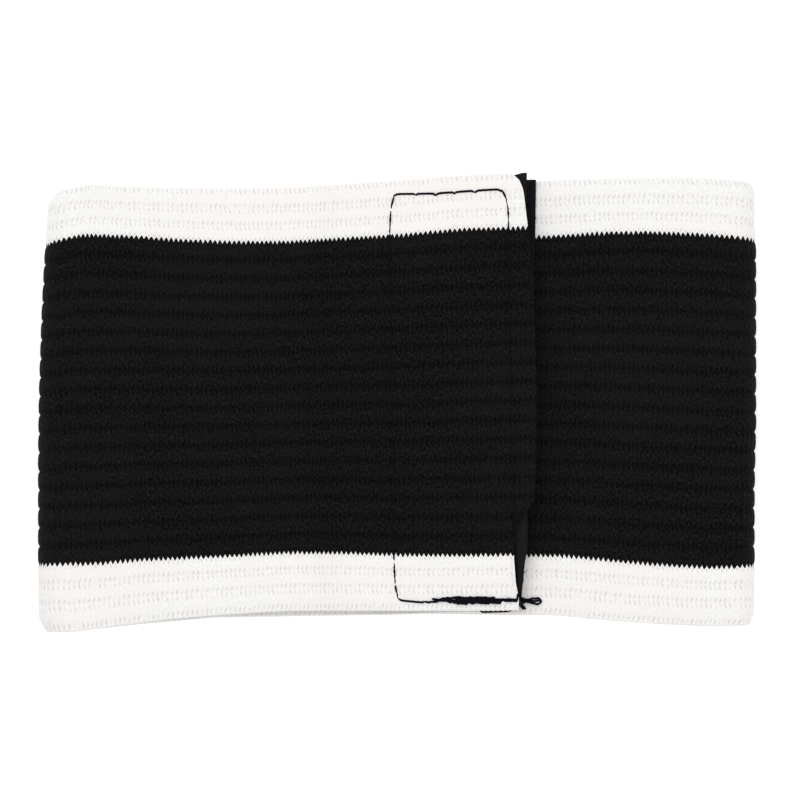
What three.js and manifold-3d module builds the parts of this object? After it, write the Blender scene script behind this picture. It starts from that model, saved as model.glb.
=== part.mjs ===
// Adjustable elastic armband, closed and lying flat. One strip of ribbed woven elastic with a dark
// centre and light borders is folded into a flat loop. A hook tape under its outer end grips a loop
// tape on its inner end.
// Millimetres. +X runs along the flattened band, +Y across it (the way an arm goes through), +Z is up.

import * as THREE from 'three';
import { mergeVertices } from 'three/addons/utils/BufferGeometryUtils.js';
import Module from 'manifold-3d';

// ---- Driving dimensions -------------------------------------------------------------------------

const FLAT_LENGTH = 115.6; // over both folds, closed and lying flat
const BAND_WIDTH = 70; // width of the elastic
const BORDER_WIDTH = 9; // each light border
const WEB_THICK = 1.6; // over the ribs
const ARM_GAP = 5; // open height between the back panel and the under panel
const LEFT_FOLD_SWELL = 0.7; // extra centreline radius of the left fold, which also clears the under end

const TAPE_THICK = 1.4; // hook tape and loop tape, pile and hooks included
const HOOK_LENGTH = 25; // hook tape, along X
const LOOP_LENGTH = 50; // loop tape, along X
const FLAP_REACH = 78.8; // from the left fold's outside to the flap's cut end
const HOOK_SETBACK = 0.4; // from the flap's cut end back to the hook tape
const LOOP_SHOWS = 1; // how far the loop tape runs out past the hook tape
const UNDER_END_MARGIN = 1.2; // from the loop tape's hidden edge to the elastic's hidden end

const THREAD = 0.36; // sewing thread
const SEAM_INSET = 2.2; // from the elastic's long edges to the seam
const HOOK_SEAM_INSET = 3.2; // from the hook tape's short edges to the seam
const LOOP_SEAM_INSET = 2; // from the loop tape's short edges to the seam
const SEAM_CORNER = 1; // corner radius of a sewn box

const STUB = 4; // plain elastic beside a fold, before it starts to stretch
const BACK_STUB = 8; // the same on the back panel, which is longer
const NECK_LENGTH = 8; // elastic that climbs onto the hook tape
const RISE_LEAD = 2; // flat run before and after a climb
const HINGE_LEAD = 1.8; // from the flap's peeling line to the hook tape

const FLAP_TILT = 2.7; // degrees, in plan: the flap leans towards +Y
const UNDER_TILT = 2.4; // degrees, in plan: the under panel leans towards +Y
const LEFT_DROP = -1.4; // where the middle of the band crosses the left fold, in Y
const RIGHT_DROP = -0.1; // where it crosses the right fold
const UNDER_SHIFT = 0.2; // how far the covered under panel sits below the flap, in Y
const PLAN_SMOOTHING = 0.2; // rounds the corner where the under panel turns to follow the flap
const TAPE_LEAN = 1.8; // degrees: the loop tape's short edges lean with the under panel

// ---- Clearances ---------------------------------------------------------------------------------

const STACK_CLEARANCE = 0.1; // between layers that lie on each other
const ZONE_GAP = 0.1; // between colour zones, and between neighbours that don't turn
const HINGE_GAP = 0.3; // between neighbours that turn

// ---- Facets -------------------------------------------------------------------------------------

const ARC_STEP = 11.25; // degrees
const CURVE_STEPS = 8; // along a climb
const PLAN_STEP = 5; // along a piece whose plan is curved

// ---- Levels and places that follow from them ----------------------------------------------------

const rightRadius = (ARM_GAP + WEB_THICK) / 2;
const leftRadius = rightRadius + LEFT_FOLD_SWELL;
const leftEdge = -FLAT_LENGTH / 2;
const rightEdge = FLAT_LENGTH / 2;
const leftCentre = leftEdge + WEB_THICK / 2 + leftRadius;
const rightCentre = rightEdge - WEB_THICK / 2 - rightRadius;

const backZ = WEB_THICK / 2;
const underZ = backZ + 2 * rightRadius;
const loopBottom = underZ + WEB_THICK / 2 + STACK_CLEARANCE;
const loopTop = loopBottom + TAPE_THICK;
const hookBottom = loopTop + STACK_CLEARANCE;
const hookTop = hookBottom + TAPE_THICK;
const flapRootZ = backZ + 2 * leftRadius;
const flapOverLoopZ = loopTop + STACK_CLEARANCE + WEB_THICK / 2;
const flapOverHookZ = hookTop + STACK_CLEARANCE + WEB_THICK / 2;
const flapTop = flapOverHookZ + WEB_THICK / 2;

const tipX = leftEdge + FLAP_REACH;
const hookRight = tipX - HOOK_SETBACK;
const hookLeft = hookRight - HOOK_LENGTH;
const loopRight = hookRight + LOOP_SHOWS;
const loopLeft = loopRight - LOOP_LENGTH;
const underEndX = loopLeft - UNDER_END_MARGIN;
const peelX = hookLeft - HINGE_LEAD;
const neckX = peelX - NECK_LENGTH;
const underPanelX = loopRight + RISE_LEAD;
const halfWidth = BAND_WIDTH / 2;

// ---- The plan of the band: where its middle runs, in Y, as a function of X ----------------------

const slope = (degrees) => Math.tan(THREE.MathUtils.degToRad(degrees));
const flapMiddle = (x) => LEFT_DROP + (x - leftEdge) * slope(FLAP_TILT);
const underLine = (x) => RIGHT_DROP + (rightEdge - x) * slope(UNDER_TILT);

// The lower of two lines, with the corner between them rounded.
function smoothLower(a, b) {
  return (a + b) / 2 - Math.hypot((a - b) / 2, PLAN_SMOOTHING);
}

const underMiddle = (x) => smoothLower(flapMiddle(x) - UNDER_SHIFT, underLine(x));

// The back panel joins the two folds with a straight line.
function backMiddle(x) {
  const share = (x - leftEdge) / FLAT_LENGTH;
  return THREE.MathUtils.lerp(flapMiddle(leftEdge), underMiddle(rightEdge), share);
}

const leftFoldMiddle = () => flapMiddle(leftEdge);

// ---- Finishes -----------------------------------------------------------------------------------

const finishes = {
  dark: { color: 0x15161a, roughness: 0.85, metalness: 0 },
  light: { color: 0xf1efec, roughness: 0.8, metalness: 0 },
  hooks: { color: 0x0d0d10, roughness: 0.5, metalness: 0 },
  loops: { color: 0x101014, roughness: 0.95, metalness: 0 },
  thread: { color: 0x191d38, roughness: 0.55, metalness: 0 },
};

const group = new THREE.Group();

function addMesh(name, geometry, finish) {
  const mesh = new THREE.Mesh(geometry, new THREE.MeshStandardMaterial(finishes[finish]));
  mesh.name = name;
  group.add(mesh);
}

// ---- Solid joins and cuts -----------------------------------------------------------------------

const wasm = await Module();
wasm.setup();

function toSolid(geometry) {
  const bare = geometry.clone();
  bare.deleteAttribute('normal');
  bare.deleteAttribute('uv');
  const merged = mergeVertices(bare, 1e-4);
  const vertProperties = Float32Array.from(merged.attributes.position.array);
  const triVerts = Uint32Array.from(merged.index.array);
  return new wasm.Manifold(new wasm.Mesh({ numProp: 3, vertProperties, triVerts }));
}

function toGeometry(solid) {
  const mesh = solid.getMesh();
  const geometry = new THREE.BufferGeometry();
  geometry.setAttribute('position', new THREE.BufferAttribute(mesh.vertProperties, 3));
  geometry.setIndex(new THREE.BufferAttribute(mesh.triVerts, 1));
  geometry.computeVertexNormals();
  return geometry;
}

// ---- The elastic: a strip that follows a centreline in XZ, in three colour zones across Y -------

const point = (x, z) => new THREE.Vector2(x, z);

const line = (x0, x1, z, steps = 1) => ({ curve: new THREE.LineCurve(point(x0, z), point(x1, z)), steps });

function arc(centreX, centreZ, radius, fromDegrees, toDegrees) {
  const from = THREE.MathUtils.degToRad(fromDegrees);
  const to = THREE.MathUtils.degToRad(toDegrees);
  const clockwise = toDegrees < fromDegrees;
  const curve = new THREE.EllipseCurve(centreX, centreZ, radius, radius, from, to, clockwise, 0);
  return { curve, steps: Math.ceil(Math.abs(toDegrees - fromDegrees) / ARC_STEP) };
}

// A climb from one level to another that is level at both ends.
function climb(x0, z0, x1, z1) {
  const half = (x0 + x1) / 2;
  const curve = new THREE.CubicBezierCurve(point(x0, z0), point(half, z0), point(half, z1), point(x1, z1));
  return { curve, steps: CURVE_STEPS };
}

// The outline of a strip: its two faces stand half a thickness to each side of the centreline.
function stripShape(stretches) {
  const left = [];
  const right = [];
  stretches.forEach(({ curve, steps }, index) => {
    for (let i = index === 0 ? 0 : 1; i <= steps; i += 1) {
      const at = curve.getPoint(i / steps);
      const along = curve.getTangent(i / steps);
      const half = point(-along.y, along.x).multiplyScalar(WEB_THICK / 2);
      left.push(at.clone().add(half));
      right.push(at.clone().sub(half));
    }
  });
  return new THREE.Shape([...left, ...right.reverse()]);
}

const centreWidth = BAND_WIDTH - 2 * BORDER_WIDTH;
const zoneEdge = centreWidth / 2;
const borderWidth = BORDER_WIDTH - ZONE_GAP / 2;
const zones = [
  { name: 'upper_border', top: halfWidth, width: borderWidth, finish: 'light' },
  { name: 'centre', top: zoneEdge - ZONE_GAP / 2, width: centreWidth - ZONE_GAP, finish: 'dark' },
  { name: 'lower_border', top: -zoneEdge - ZONE_GAP / 2, width: borderWidth, finish: 'light' },
];

// Moves every vertex in Y by the height of the band's middle there, after leaning it in X by its own Y.
function followPlan(geometry, middle, lean = 0) {
  const position = geometry.attributes.position;
  for (let i = 0; i < position.count; i += 1) {
    const x = position.getX(i);
    const y = position.getY(i);
    position.setX(i, x + y * lean);
    position.setY(i, y + middle(x));
  }
  return geometry;
}

function webSegment(name, stretches, middle) {
  const shape = stripShape(stretches);
  for (const zone of zones) {
    const geometry = new THREE.ExtrudeGeometry(shape, { depth: zone.width, bevelEnabled: false });
    geometry.rotateX(Math.PI / 2);
    geometry.translate(0, zone.top, 0);
    addMesh(`${name}_${zone.name}`, followPlan(geometry, middle), zone.finish);
  }
}

// Half a hinge gap, as an angle at the outside of a fold.
const hingeAngle = (radius) => THREE.MathUtils.radToDeg(HINGE_GAP / 2 / (radius + WEB_THICK / 2));
const leftGap = hingeAngle(leftRadius);
const rightGap = hingeAngle(rightRadius);
const leftZ = backZ + leftRadius;
const rightZ = backZ + rightRadius;
const butt = ZONE_GAP / 2;
const planSteps = (length) => Math.ceil(length / PLAN_STEP);

function makeBackPanel() {
  const stretchFrom = leftCentre + BACK_STUB;
  const stretchTo = rightCentre - BACK_STUB;
  const leftStretches = [
    arc(leftCentre, leftZ, leftRadius, 225 + leftGap, 270),
    line(leftCentre, stretchFrom - butt, backZ),
  ];
  webSegment('left_end', leftStretches, backMiddle);
  webSegment('back_stretch', [line(stretchFrom + butt, stretchTo - butt, backZ)], backMiddle);
  const rightStretches = [
    line(stretchTo + butt, rightCentre, backZ),
    arc(rightCentre, rightZ, rightRadius, -90, 45 - rightGap),
  ];
  webSegment('right_end', rightStretches, backMiddle);
}

function makeFlap() {
  const stretchFrom = leftCentre + STUB;
  const midStretch = arc(leftCentre, leftZ, leftRadius, 225 - leftGap, 135 + leftGap);
  webSegment('fold_mid', [midStretch], leftFoldMiddle);
  const rootStretches = [
    arc(leftCentre, leftZ, leftRadius, 135 - leftGap, 90),
    line(leftCentre, stretchFrom - butt, flapRootZ),
  ];
  webSegment('flap_root', rootStretches, flapMiddle);
  const climbFrom = stretchFrom + RISE_LEAD;
  const climbTo = underEndX - STACK_CLEARANCE;
  const stretchStretches = [
    line(stretchFrom + butt, climbFrom, flapRootZ),
    climb(climbFrom, flapRootZ, climbTo, flapOverLoopZ),
    line(climbTo, neckX - butt, flapOverLoopZ),
  ];
  webSegment('flap_stretch', stretchStretches, flapMiddle);
  const neckStretches = [
    climb(neckX + butt, flapOverLoopZ, peelX - RISE_LEAD / 2, flapOverHookZ),
    line(peelX - RISE_LEAD / 2, peelX - HINGE_GAP / 2, flapOverHookZ),
  ];
  webSegment('flap_neck', neckStretches, flapMiddle);
  webSegment('flap_tip', [line(peelX + HINGE_GAP / 2, tipX, flapOverHookZ)], flapMiddle);
}

function makeUnderPanel() {
  const rootEnd = rightCentre - STUB;
  const rootStretches = [
    arc(rightCentre, rightZ, rightRadius, 45 + rightGap, 90),
    line(rightCentre, rootEnd + butt, underZ),
  ];
  webSegment('under_root', rootStretches, underMiddle);
  const stretchLength = rootEnd - underPanelX;
  const stretch = line(rootEnd - butt, underPanelX + butt, underZ, planSteps(stretchLength));
  webSegment('under_stretch', [stretch], underMiddle);
  const panelLength = underPanelX - underEndX;
  const panel = line(underPanelX - butt, underEndX, underZ, planSteps(panelLength));
  webSegment('under_panel', [panel], underMiddle);
}

// ---- Tapes and their sewn boxes: outlines in plan, raised in Z ----------------------------------

// A rectangle whose long edges have a point every few millimetres, to follow a curved plan.
function planRectangle(x0, x1, halfY) {
  const steps = planSteps(x1 - x0);
  const along = (i) => THREE.MathUtils.lerp(x0, x1, i / steps);
  const points = [];
  for (let i = 0; i <= steps; i += 1) {
    points.push(point(along(i), -halfY));
  }
  for (let i = steps; i >= 0; i -= 1) {
    points.push(point(along(i), halfY));
  }
  return points;
}

// The same with round corners, which start and end one radius in from each short edge.
function planRoundBox(x0, x1, halfY, radius) {
  const path = new THREE.Path();
  const steps = planSteps(x1 - x0);
  const inner = (i) => THREE.MathUtils.lerp(x0 + radius, x1 - radius, i / steps);
  path.moveTo(x0 + radius, -halfY);
  for (let i = 1; i <= steps; i += 1) {
    path.lineTo(inner(i), -halfY);
  }
  path.absarc(x1 - radius, -halfY + radius, radius, -Math.PI / 2, 0, false);
  path.absarc(x1 - radius, halfY - radius, radius, 0, Math.PI / 2, false);
  for (let i = steps - 1; i >= 0; i -= 1) {
    path.lineTo(inner(i), halfY);
  }
  path.absarc(x0 + radius, halfY - radius, radius, Math.PI / 2, Math.PI, false);
  path.absarc(x0 + radius, -halfY + radius, radius, Math.PI, 1.5 * Math.PI, false);
  return path.getPoints(3);
}

function raise(shape, bottom, height) {
  const geometry = new THREE.ExtrudeGeometry(shape, { depth: height, bevelEnabled: false });
  return geometry.translate(0, 0, bottom);
}

// A closed line of thread, or the groove that it lies in: a band of one width along a round box.
function sewnBox(box, width, bottom, height) {
  const { x0, x1, halfY } = box;
  const reach = width / 2;
  const outside = planRoundBox(x0 - reach, x1 + reach, halfY + reach, SEAM_CORNER + reach);
  const inside = planRoundBox(x0 + reach, x1 - reach, halfY - reach, SEAM_CORNER - reach);
  const shape = new THREE.Shape(outside);
  shape.holes.push(new THREE.Path(inside));
  return followPlan(raise(shape, bottom, height), box.middle, box.lean);
}

// A tape with the groove of its seam pressed into the side that faces the other tape.
function makeTape(name, tape, box) {
  const outline = new THREE.Shape(planRectangle(tape.left, tape.right, halfWidth));
  const blank = raise(outline, tape.bottom, TAPE_THICK);
  followPlan(blank, box.middle, box.lean);
  const grooveSize = THREAD + 2 * STACK_CLEARANCE;
  const groove = sewnBox(box, grooveSize, tape.grooveBottom, grooveSize);
  addMesh(name, toGeometry(toSolid(blank).subtract(toSolid(groove))), tape.finish);
}

const seamY = halfWidth - SEAM_INSET;
const tapeLean = slope(TAPE_LEAN);

function makeHookTape() {
  const box = {
    x0: hookLeft + HOOK_SEAM_INSET,
    x1: hookRight - HOOK_SEAM_INSET,
    halfY: seamY,
    middle: flapMiddle,
    lean: 0,
  };
  const grooveBottom = hookBottom - STACK_CLEARANCE;
  const tape = { left: hookLeft, right: hookRight, bottom: hookBottom, grooveBottom, finish: 'hooks' };
  makeTape('hook_tape', tape, box);
  addMesh('hook_stitching_face', sewnBox(box, THREAD, flapTop + STACK_CLEARANCE, THREAD), 'thread');
  addMesh('hook_stitching_back', sewnBox(box, THREAD, hookBottom, THREAD), 'thread');
}

function makeLoopTape() {
  const box = {
    x0: loopLeft + LOOP_SEAM_INSET,
    x1: loopRight - LOOP_SEAM_INSET,
    halfY: seamY,
    middle: underMiddle,
    lean: tapeLean,
  };
  const grooveBottom = loopTop - THREAD - STACK_CLEARANCE;
  const tape = { left: loopLeft, right: loopRight, bottom: loopBottom, grooveBottom, finish: 'loops' };
  makeTape('loop_tape', tape, box);
  const threadBelow = underZ - WEB_THICK / 2 - STACK_CLEARANCE - THREAD;
  addMesh('loop_stitching_face', sewnBox(box, THREAD, loopTop - THREAD, THREAD), 'thread');
  addMesh('loop_stitching_back', sewnBox(box, THREAD, threadBelow, THREAD), 'thread');
}

// ---- Assembly -----------------------------------------------------------------------------------

makeBackPanel();
makeFlap();
makeUnderPanel();
makeHookTape();
makeLoopTape();

// The origin is the middle of the underside.
const bounds = new THREE.Box3().setFromObject(group);
const middle = bounds.getCenter(new THREE.Vector3());
group.position.set(-middle.x, -middle.y, -bounds.min.z);
group.updateMatrixWorld(true);

export default group;
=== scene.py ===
# %% [markdown]
# # An elastic armband, closed and lying flat
# The object is one strip of ribbed woven elastic, black with white borders. It is folded into a flat
# loop, and a strip of hook tape under its outer end grips a strip of loop tape on its inner end. The
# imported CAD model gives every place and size, in metres. This lesson works in millimetres, because cloth
# is easier to think about in them, and turns the result into metres when a mesh is made.

# %% Load the frame
import math

import bpy
import numpy as np
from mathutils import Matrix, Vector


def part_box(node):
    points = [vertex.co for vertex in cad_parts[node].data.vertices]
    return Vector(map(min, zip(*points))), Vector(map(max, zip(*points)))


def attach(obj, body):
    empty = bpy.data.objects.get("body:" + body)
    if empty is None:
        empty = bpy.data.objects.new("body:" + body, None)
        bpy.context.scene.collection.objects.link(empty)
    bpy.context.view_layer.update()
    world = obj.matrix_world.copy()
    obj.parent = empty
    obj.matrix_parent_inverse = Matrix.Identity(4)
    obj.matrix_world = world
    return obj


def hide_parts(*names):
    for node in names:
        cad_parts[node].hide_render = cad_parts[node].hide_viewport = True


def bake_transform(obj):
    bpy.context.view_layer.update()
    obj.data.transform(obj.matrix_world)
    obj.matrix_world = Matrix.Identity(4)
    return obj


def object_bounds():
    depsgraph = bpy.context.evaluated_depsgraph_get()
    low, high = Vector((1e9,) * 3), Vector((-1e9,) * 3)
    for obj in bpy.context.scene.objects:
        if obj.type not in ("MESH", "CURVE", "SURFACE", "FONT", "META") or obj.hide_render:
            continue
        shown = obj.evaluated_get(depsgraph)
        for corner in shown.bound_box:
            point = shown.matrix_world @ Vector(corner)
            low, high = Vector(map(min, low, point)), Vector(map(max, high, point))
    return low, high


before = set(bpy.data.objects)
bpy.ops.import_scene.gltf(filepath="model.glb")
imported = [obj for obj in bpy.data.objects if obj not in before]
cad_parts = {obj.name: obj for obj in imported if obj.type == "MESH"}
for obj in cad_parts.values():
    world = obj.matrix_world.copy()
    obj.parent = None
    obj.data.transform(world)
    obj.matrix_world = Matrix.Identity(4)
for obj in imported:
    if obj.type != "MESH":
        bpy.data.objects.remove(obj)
cad_low, cad_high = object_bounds()
MM = 1000.0  # millimetres in a metre
rng = np.random.default_rng(7)


def box_mm(node):
    """The lowest and highest corners of a CAD node, in millimetres."""
    low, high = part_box(node)
    return np.array(low) * MM, np.array(high) * MM


print("CAD box in mm:", np.round(np.array(cad_low) * MM, 2), np.round(np.array(cad_high) * MM, 2))

# %% [markdown]
# ## Camera
# The band is seen from straight above with a long lens, so the folds beside
# the flap and the floor below it hardly shrink. The camera is placed first,
# from the size of the band: its view is a little wider than the band is long.

# %% Camera
VIEW_WIDTH = 128.4  # mm seen from side to side, at the height of the flap
CAMERA_HEIGHT = 1500.0  # mm above the flap
CAMERA_CENTRE = (0.4, 0.35)  # mm from the middle of the frame
SENSOR = 36.0  # mm
flap_top = box_mm("flap_tip_centre")[1][2]
camera_data = bpy.data.cameras.new("camera")
camera_data.sensor_width = SENSOR
camera_data.lens = SENSOR * CAMERA_HEIGHT / VIEW_WIDTH
camera_data.clip_start = 0.01
camera = bpy.data.objects.new("camera", camera_data)
camera.location = (CAMERA_CENTRE[0] / MM, CAMERA_CENTRE[1] / MM, (flap_top + CAMERA_HEIGHT) / MM)
bpy.context.collection.objects.link(camera)
bpy.context.scene.camera = camera
print("lens", round(camera_data.lens, 1), "mm")

# %% [markdown]
# ## Floor and light
# A small product like this is best shown on a lit white table under large soft lamps, so
# it throws almost no shadow and the table stays pure white. Here the floor glows a little,
# as such a table does. One wide lamp from the upper left gives the ribs their shape, a
# weaker one from the right fills in, and a pale world does the rest. Plain, unstretched
# colours are used, so that white cloth and the white table keep their difference.

# %% Floor and light
WORLD_LIGHT = 0.60
TABLE_GLOW = 0.42
scene = bpy.context.scene
scene.view_settings.view_transform = "Standard"
world = bpy.data.worlds.new("soft_room")
world.use_nodes = True
world.node_tree.nodes["Background"].inputs["Color"].default_value = (1.0, 1.0, 1.0, 1.0)
world.node_tree.nodes["Background"].inputs["Strength"].default_value = WORLD_LIGHT
scene.world = world

FLOOR_HALF = 6.0  # metres
floor_mesh = bpy.data.meshes.new("floor")
floor_corners = [(x * FLOOR_HALF, y * FLOOR_HALF, 0.0) for x, y in ((-1, -1), (1, -1), (1, 1), (-1, 1))]
floor_mesh.from_pydata(floor_corners, [], [(0, 1, 2, 3)])
floor = bpy.data.objects.new("floor", floor_mesh)
bpy.context.collection.objects.link(floor)
floor_paint = bpy.data.materials.new("lit_table")
floor_paint.use_nodes = True
table_shader = floor_paint.node_tree.nodes["Principled BSDF"]
table_shader.inputs["Base Color"].default_value = (0.9, 0.9, 0.9, 1.0)
table_shader.inputs["Roughness"].default_value = 0.9
table_shader.inputs["Emission Color"].default_value = (1.0, 1.0, 1.0, 1.0)
table_shader.inputs["Emission Strength"].default_value = TABLE_GLOW
floor_mesh.materials.append(floor_paint)


def soft_lamp(name, place, size, power):
    """A square lamp of a given size at a place in metres, turned towards the middle of the band."""
    data = bpy.data.lights.new(name, "AREA")
    data.shape = "SQUARE"
    data.size = size
    data.energy = power
    lamp = bpy.data.objects.new(name, data)
    lamp.location = place
    lamp.rotation_mode = "QUATERNION"
    lamp.rotation_quaternion = (-lamp.location).to_track_quat("-Z", "Y")
    bpy.context.collection.objects.link(lamp)
    return lamp


soft_lamp("key", (-0.22, 0.34, 0.85), 0.9, 5.0)
soft_lamp("fill", (0.5, -0.3, 0.7), 0.7, 1.9)

# %% [markdown]
# ## The strip's path
# Everything on the band follows one line: the middle of the elastic, seen from its long edge. It starts
# at the hidden inner end, runs right under the flap, turns round the right fold, comes back along the
# floor, turns round the left fold and climbs over both tapes to the flap's cut end. A real strip can be
# drawn the same way, as a list of runs joined end to end, and then measured along its length. That
# length, called s, is what the weave, the stretch and the seams are later laid out on.

# %% Levels and places
STEP = 0.05  # mm between points of the path
HALF_GAP = 0.15  # mm, half the gap between two CAD nodes that turn against each other
CLIMB_SHORT = 0.1  # mm that the climb over the loop tape ends before the hidden end
web_thick = box_mm("back_stretch_centre")[1][2]
half_thick = web_thick / 2
half_width = (box_mm("fold_mid_upper_border")[1][1] - box_mm("fold_mid_lower_border")[0][1]) / 2
left_edge = cad_low[0] * MM
right_edge = cad_high[0] * MM
root_z = box_mm("flap_root_centre")[1][2] - half_thick
under_z = box_mm("under_panel_centre")[1][2] - half_thick
over_loop_z = box_mm("flap_stretch_centre")[1][2] - half_thick
over_hook_z = flap_top - half_thick
left_radius = (root_z - half_thick) / 2
right_radius = (under_z - half_thick) / 2
left_centre = left_edge + half_thick + left_radius
right_centre = right_edge - half_thick - right_radius
under_end = box_mm("under_panel_centre")[0][0]
loop_climb_end = under_end - CLIMB_SHORT
stretch_in = box_mm("flap_stretch_centre")[0][0]
neck_x = box_mm("flap_neck_centre")[0][0]
peel_x = box_mm("flap_neck_centre")[1][0] + HALF_GAP
tip_x = box_mm("flap_tip_centre")[1][0]
print("half width", half_width, "fold radii", left_radius, right_radius)


# %% Runs of the path
def level_run(x0, x1, z):
    """Points on a level line from x0 to x1."""
    count = max(2, int(abs(x1 - x0) / STEP))
    x = np.linspace(x0, x1, count)
    return np.column_stack([x, np.full(count, z)])


def fold_run(cx, cz, radius, start, stop):
    """Points on a circle from one angle to another, in degrees: x = cx + r cos a, z = cz + r sin a."""
    count = int(abs(math.radians(stop - start)) * radius / STEP)
    angle = np.radians(np.linspace(start, stop, count))
    return np.column_stack([cx + radius * np.cos(angle), cz + radius * np.sin(angle)])


def smooth_step(t):
    """Rises from 0 to 1 with level ends: 3 t squared less 2 t cubed."""
    t = np.clip(t, 0.0, 1.0)
    return t * t * (3.0 - 2.0 * t)


def climb_run(x0, z0, x1, z1):
    """Points that climb from one level to another with level ends."""
    count = max(2, int(abs(x1 - x0) / STEP))
    t = np.linspace(0.0, 1.0, count)
    return np.column_stack([x0 + (x1 - x0) * t, z0 + (z1 - z0) * smooth_step(t)])


CLIMB_LEAD = 2.0  # mm of level elastic beside a climb
runs = {
    "under": level_run(under_end, right_centre, under_z),
    "right_fold": fold_run(right_centre, half_thick + right_radius, right_radius, 90, -90),
    "back": level_run(right_centre, left_centre, half_thick),
    "left_fold": fold_run(left_centre, half_thick + left_radius, left_radius, 270, 90),
    "flap_low": level_run(left_centre, stretch_in + CLIMB_LEAD, root_z),
    "climb_loop": climb_run(stretch_in + CLIMB_LEAD, root_z, loop_climb_end, over_loop_z),
    "flap_mid": level_run(loop_climb_end, neck_x, over_loop_z),
    "climb_hook": climb_run(neck_x, over_loop_z, peel_x - CLIMB_LEAD / 2, over_hook_z),
    "flap_end": level_run(peel_x - CLIMB_LEAD / 2, tip_x, over_hook_z),
}


# %% One path, measured along its length
def join_runs(parts):
    """Joins the runs, drops the repeated end points, and measures the
    length s along the result. The direction is the slope of x and z over s,
    and the outside of the loop is that direction turned a quarter left."""
    points = np.vstack([part[:-1] for part in parts] + [parts[-1][-1:]])
    lengths = np.hypot(*np.diff(points, axis=0).T)
    s = np.concatenate([[0.0], np.cumsum(lengths)])
    direction = np.column_stack([np.gradient(points[:, 0], s), np.gradient(points[:, 1], s)])
    direction /= np.linalg.norm(direction, axis=1)[:, None]
    return s, points, direction


path_s, path_xz, path_dir = join_runs(list(runs.values()))
run_lengths = {k: float(np.hypot(*np.diff(p, axis=0).T).sum()) for k, p in runs.items()}
run_start = dict(zip(runs, np.concatenate([[0.0], np.cumsum(list(run_lengths.values()))[:-1]])))
strip_length = float(path_s[-1])
LEVELS = {
    "under": (0.0, run_start["right_fold"]),
    "back": (run_start["back"], run_start["left_fold"]),
    "flap": (run_start["flap_low"], strip_length),
}
print("cut length of the elastic:", round(strip_length, 1), "mm")


def s_at(level, x):
    """The length along the path where its under, back or flap level passes a given x."""
    first, last = LEVELS[level]
    inside = (path_s >= first) & (path_s <= last)
    order = np.argsort(path_xz[inside, 0])
    return float(np.interp(x, path_xz[inside, 0][order], path_s[inside][order]))


# %% [markdown]
# ## The strip's plan
# Seen from above the strip isn't straight or even. The flap leans up to the right, the
# inner end leans down to the right, and elastic is narrower where nothing holds it and
# wider where it is sewn or folded. Four lines are enough to say all that: the two woven
# edges and the two lines where white meets black. The frame gives each line as a straight
# one, and a short table says how far the real line lies from it, place by place.

# %% The straight lines of the frame
border_at = float(np.ptp(np.vstack(box_mm("fold_mid_centre"))[:, 1])) / 2
RULES = np.array([-half_width, -border_at, border_at, half_width])


def plan_line(node, rising):
    """The straight line of the band's middle over a sheared
    CAD node, from the two y limits of its box."""
    low, high = box_mm(node)
    at_low, at_high = low[1] + border_at, high[1] - border_at
    ends = (at_low, at_high) if rising else (at_high, at_low)
    slope = (ends[1] - ends[0]) / (high[0] - low[0])
    return lambda x: ends[0] + (x - low[0]) * slope


flap_line = plan_line("flap_tip_centre", rising=True)
under_line = plan_line("under_root_centre", rising=False)
UNDER_SHIFT = 0.2  # mm that the covered inner end sits below the flap, in plan
CORNER_ROUND = 0.2  # mm, how much the corner between two lines is eased


def under_middle(x):
    """The lower of the two lines, with its corner rounded."""
    a, b = flap_line(x) - UNDER_SHIFT, under_line(x)
    return (a + b) / 2 - np.hypot((a - b) / 2, CORNER_ROUND)


def back_middle(x):
    """A straight line from the left fold's middle to the right fold's."""
    share = (x - left_edge) / (right_edge - left_edge)
    return flap_line(left_edge) + share * (under_middle(right_edge) - flap_line(left_edge))


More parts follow.
